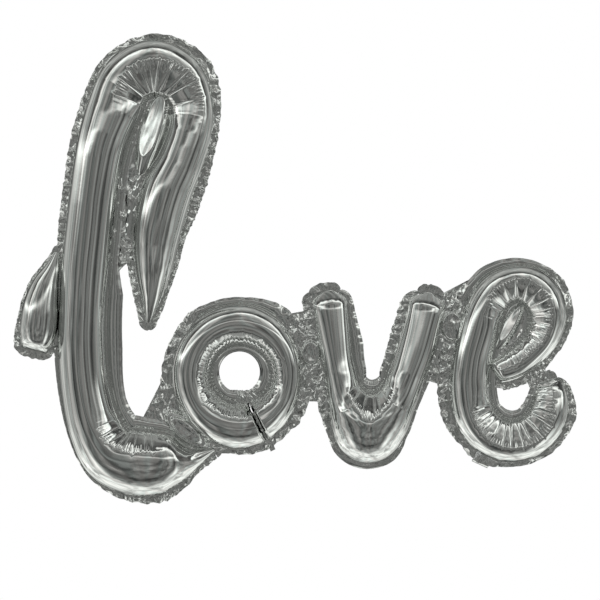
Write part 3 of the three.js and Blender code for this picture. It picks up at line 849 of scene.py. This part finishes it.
def tail_ply(side):
    """One ply of the filling tail: out of the sealed edge, round the fold and to the back, softly curled."""
    w = np.linspace(-1, 1, 29)[:, None, None]
    v = np.r_[np.linspace(0, 1, 15)[:-1], np.ones(28)][None, :, None]  # share of the way round the bend
    out = np.r_[np.zeros(14), np.linspace(0, TAIL_REACH - TAIL_BEND, 28)][None, :, None]  # past the bend
    t = (TAIL_BEND * v**2 + out) / TAIL_REACH
    half = TAIL_HALF * (1 - 0.12 * t) * (1 - 0.25 * np.clip((t - 0.85) / 0.15, 0, 1) ** 2)
    loose = np.clip(out / 6, 0, 1)
    curl = t**2 + 0.8 * np.sin(3 * t + 0.4) * (w**2)
    crumple = 0.9 * facet_noise(77, w * 2.2, t * 4) * np.sqrt(t)
    normal = (1 - v) * TAIL_BACK + v * TAIL_INWARD
    normal = normal / np.linalg.norm(normal, axis=-1, keepdims=True)
    path = TAIL_INWARD * TAIL_BEND * (1 - v) ** 2 + TAIL_BACK * (TAIL_BEND * v**2 + out)
    apart = normal * side * (0.64 - 0.34 * v)  # the plies part round the valve
    return TAIL_FOLD + TAIL_ACROSS * w * half + path + TAIL_INWARD * loose * (curl + crumple) + apart


build_panel(FRONT)
build_panel(BACK)
for word, side in (("front", FRONT), ("back", BACK)):
    obj = grid_object(f"{word}_tail_film", [(tail_ply(side), side == BACK)], [0.5])
    obj.data.materials.append(rim_film)
    # The film starts inside the rim and follows the tail past the fold, so it bends in between.
    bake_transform(obj)
    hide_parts(f"tail_{word}_ply")
for name in ("valve_front_ply", "valve_back_ply"):
    node = bpy.data.objects[name]
    node.data.materials.clear()
    node.data.materials.append(valve_film)

# ------------------------------------------------------------------ floor, light, camera
FLOOR_RADIUS, FLOOR_LEVEL = 0.95, -0.62
bpy.ops.mesh.primitive_circle_add(
    vertices=96, radius=FLOOR_RADIUS, fill_type="NGON", location=(0, 0, FLOOR_LEVEL))
floor = bpy.context.object
floor.name = "floor"
pale, _, pale_shader = new_material("pale floor")
pale_shader["Base Color"].default_value = (0.82, 0.82, 0.81, 1)
pale_shader["Roughness"].default_value = 0.7
floor.data.materials.append(pale)
floor.visible_glossy = False

LAMPS_AIM = Vector((0, 0, -0.03))


def softbox(name, at, size, power):
    """A rectangular lamp that faces the balloon. The film doesn't mirror it: it reflects the studio."""
    light = bpy.data.lights.new(name, "AREA")
    light.shape, light.size, light.size_y, light.energy = "RECTANGLE", size[0], size[1], power
    obj = bpy.data.objects.new(name, light)
    bpy.context.scene.collection.objects.link(obj)
    obj.location = at
    obj.rotation_euler = (LAMPS_AIM - Vector(at)).to_track_quat("-Z", "Y").to_euler()
    obj.visible_glossy = False


softbox("left box", (-2.3, -0.7, 0.5), (0.55, 2.2), 42)
softbox("right box", (2.2, -1.3, 0.3), (0.35, 1.8), 14)
softbox("top box", (0.1, -0.9, 2.3), (2.2, 0.7), 34)
softbox("back box", (0.3, 2.2, 1.0), (1.8, 1.2), 22)


# The studio's brightness against the angle from straight in front of the balloon, in degrees, for the parts
# of the room above, below, left and right of that direction: a grey room with a thin bright lamp ring
# overhead and a dark gap past it, a pale floor, and a dark ring round the wall behind the balloon.
ABOVE = [(0, 0.17), (9, 0.12), (17, 0.2), (26, 0.12), (36, 0.2), (46, 0.22), (56, 0.5), (62, 0.88),
         (65, 0.85), (68, 0.05), (75, 0.1), (86, 0.26), (98, 0.36), (110, 0.3), (124, 0.1), (146, 0.03),
         (166, 0.05), (180, 0.2)]
BELOW = [(0, 0.17), (9, 0.12), (17, 0.19), (27, 0.1), (38, 0.16), (51, 0.07), (62, 0.18), (74, 0.3),
         (84, 0.68), (110, 0.78), (140, 0.4), (152, 0.05), (166, 0.05), (180, 0.2)]
LEFT = [(0, 0.17), (9, 0.13), (16, 0.2), (24, 0.11), (32, 0.19), (42, 0.075), (55, 0.19), (62, 0.28),
        (80, 0.25), (100, 0.36), (118, 0.32), (135, 0.12), (150, 0.04), (166, 0.05), (180, 0.2)]
RIGHT = [(0, 0.17), (8, 0.13), (17, 0.19), (28, 0.1), (36, 0.18), (47, 0.06), (60, 0.12), (72, 0.24),
         (84, 0.28), (100, 0.28), (122, 0.4), (140, 0.14), (152, 0.04), (166, 0.05), (180, 0.2)]
SPOTS = [(0, 0.85), (0.42, 0.85), (0.5, 1.0), (0.6, 1.2), (1, 1.2)]
BLOTS = [(0, 0.45), (0.36, 0.55), (0.45, 1.0), (0.6, 1.1), (1, 1.2)]
# A bright strip just above eye level, against the azimuth in degrees: its elevation in hundreds of degrees
# and its brightness.
STRIP_HEIGHT = [(-180, 0.16), (-100, 0.13), (-60, 0.13), (-40, 0.16), (60, 0.17), (180, 0.16)]
STRIP_LIGHT = [(-180, 0), (-122, 0), (-100, 0.9), (-40, 1.2), (-14, 0.35), (14, 0.35), (36, 1.2), (66, 0),
               (180, 0)]
STRIP_BREADTH = 3.2
# A lamp low on each side: azimuth and breadth, elevation and height, in degrees, and brightness.
LOW_LAMPS = (58, 8), (-36, 20), 0.95
ROOM_LIGHT = 1.36
IN_DEGREES = 57.296


def other_leg(g, leg):
    """The other leg of a right triangle with hypotenuse 1, never quite 0."""
    rest = g.math("SUBTRACT", 1.0, g.math("MULTIPLY", leg, leg))
    return g.math("SQRT", g.math("MAXIMUM", rest, 0.0001))


def room(g, direction, right, away, up):
    """Brightness of the room without its strip and lamps, with upright streaks, spots and blots."""
    angle = g.math("MULTIPLY", g.math("ARCCOSINE", g.math("MULTIPLY", away, -1.0)), IN_DEGREES)
    sideways = g.math("MAXIMUM", other_leg(g, away), 0.02)
    steepness = g.math("DIVIDE", up, sideways)  # 1 straight above the front, -1 straight below it
    side = g.ease(g.math("DIVIDE", right, sideways), -0.3, 0.3)
    base = g.mix(side, g.greys(angle, LEFT), g.greys(angle, RIGHT))
    base = g.mix(g.ease(steepness, 0.05, 0.22), base, g.greys(angle, ABOVE))
    base = g.mix(g.ease(g.math("MULTIPLY", steepness, -1.0), 0.2, 0.6), base, g.greys(angle, BELOW))
    outward = other_leg(g, up)
    level = {"X": g.math("DIVIDE", right, outward), "Y": g.math("DIVIDE", away, outward)}
    level = g.node("CombineXYZ", level).outputs["Vector"]
    streaks = g.math("MULTIPLY", g.noise(level, 8.0, 5.0, noise_dimensions="2D"), 2.2)
    streaks = g.math("ADD", -0.1, streaks)
    fade = g.ease(g.math("ABSOLUTE", up), 0.35, 0.85)  # no streaks near the poles, where they would meet
    base = g.math("MULTIPLY", base, g.mix(fade, streaks, 1.0))
    base = g.math("MULTIPLY", base, g.greys(g.noise(direction, 8.0, 1.5), SPOTS))
    return g.math("MULTIPLY", base, g.greys(g.noise(direction, 3.2, 2.0), BLOTS))


def studio_world():
    """The grey studio that the mirror film reflects, with a bright strip just above eye level and a lamp low
    on each side, in slightly greenish and pinkish greys. Camera rays see plain white."""
    world = bpy.data.worlds.new("studio")
    bpy.context.scene.world = world
    world.use_nodes = True
    g = Graph(world.node_tree)
    g.nodes.clear()
    direction = g.node("TexCoord").outputs["Generated"]
    right, away, up = g.node("SeparateXYZ", {"Vector": direction}).outputs
    # 0 in front, + to the right
    azimuth = g.math("MULTIPLY", g.math("ARCTAN2", right, g.math("MULTIPLY", away, -1.0)), IN_DEGREES)
    elevation = g.math("MULTIPLY", g.math("ARCSINE", up), IN_DEGREES)
    height = g.math("MULTIPLY", g.greys(azimuth, STRIP_HEIGHT), 100.0)
    strip = g.math("MULTIPLY", g.bell(elevation, height, STRIP_BREADTH), g.greys(azimuth, STRIP_LIGHT))
    across, upward, glow = LOW_LAMPS
    low = g.math("MULTIPLY", g.bell(g.math("ABSOLUTE", azimuth), *across), g.bell(elevation, *upward))
    total = g.math("MULTIPLY", room(g, direction, right, away, up), ROOM_LIGHT)
    total = g.math("ADD", total, g.math("ADD", strip, g.math("MULTIPLY", low, glow)))
    shade = g.noise(g.math("ADD", azimuth, 77.0), 0.09, 2.0, noise_dimensions="1D")
    tones = g.colours(shade, [(0.42, (0.95, 1.0, 0.965)), (0.58, (1.0, 0.975, 0.94))])
    tint = g.node("Mix", {"Factor": 1.0, "A": total, "B": tones}, data_type="RGBA", blend_type="MULTIPLY")
    studio = g.node("Background", {"Color": tint.outputs["Result"]}).outputs["Background"]
    white = g.node("Background", {"Color": (1, 1, 1, 1)}).outputs["Background"]
    seen = g.node("LightPath").outputs["Is Camera Ray"]
    shader = g.node("MixShader", {"Fac": seen, 1: studio, 2: white}).outputs["Shader"]
    g.node("OutputWorld", {"Surface": shader})


studio_world()

VIEW_CENTRE = Vector((0.0064, 0, -0.039))
VIEW_WIDTH, VIEW_DISTANCE = 0.768, 3.0
camera_data = bpy.data.cameras.new("camera")
camera_data.sensor_width = 36
camera_data.lens = 36 * VIEW_DISTANCE / VIEW_WIDTH
camera = bpy.data.objects.new("camera", camera_data)
bpy.context.scene.collection.objects.link(camera)
camera.location = VIEW_CENTRE + Vector((0, -VIEW_DISTANCE, 0))
camera.rotation_euler = (np.pi / 2, 0, 0)
bpy.context.scene.camera = camera
bpy.context.scene.view_settings.view_transform = "Standard"
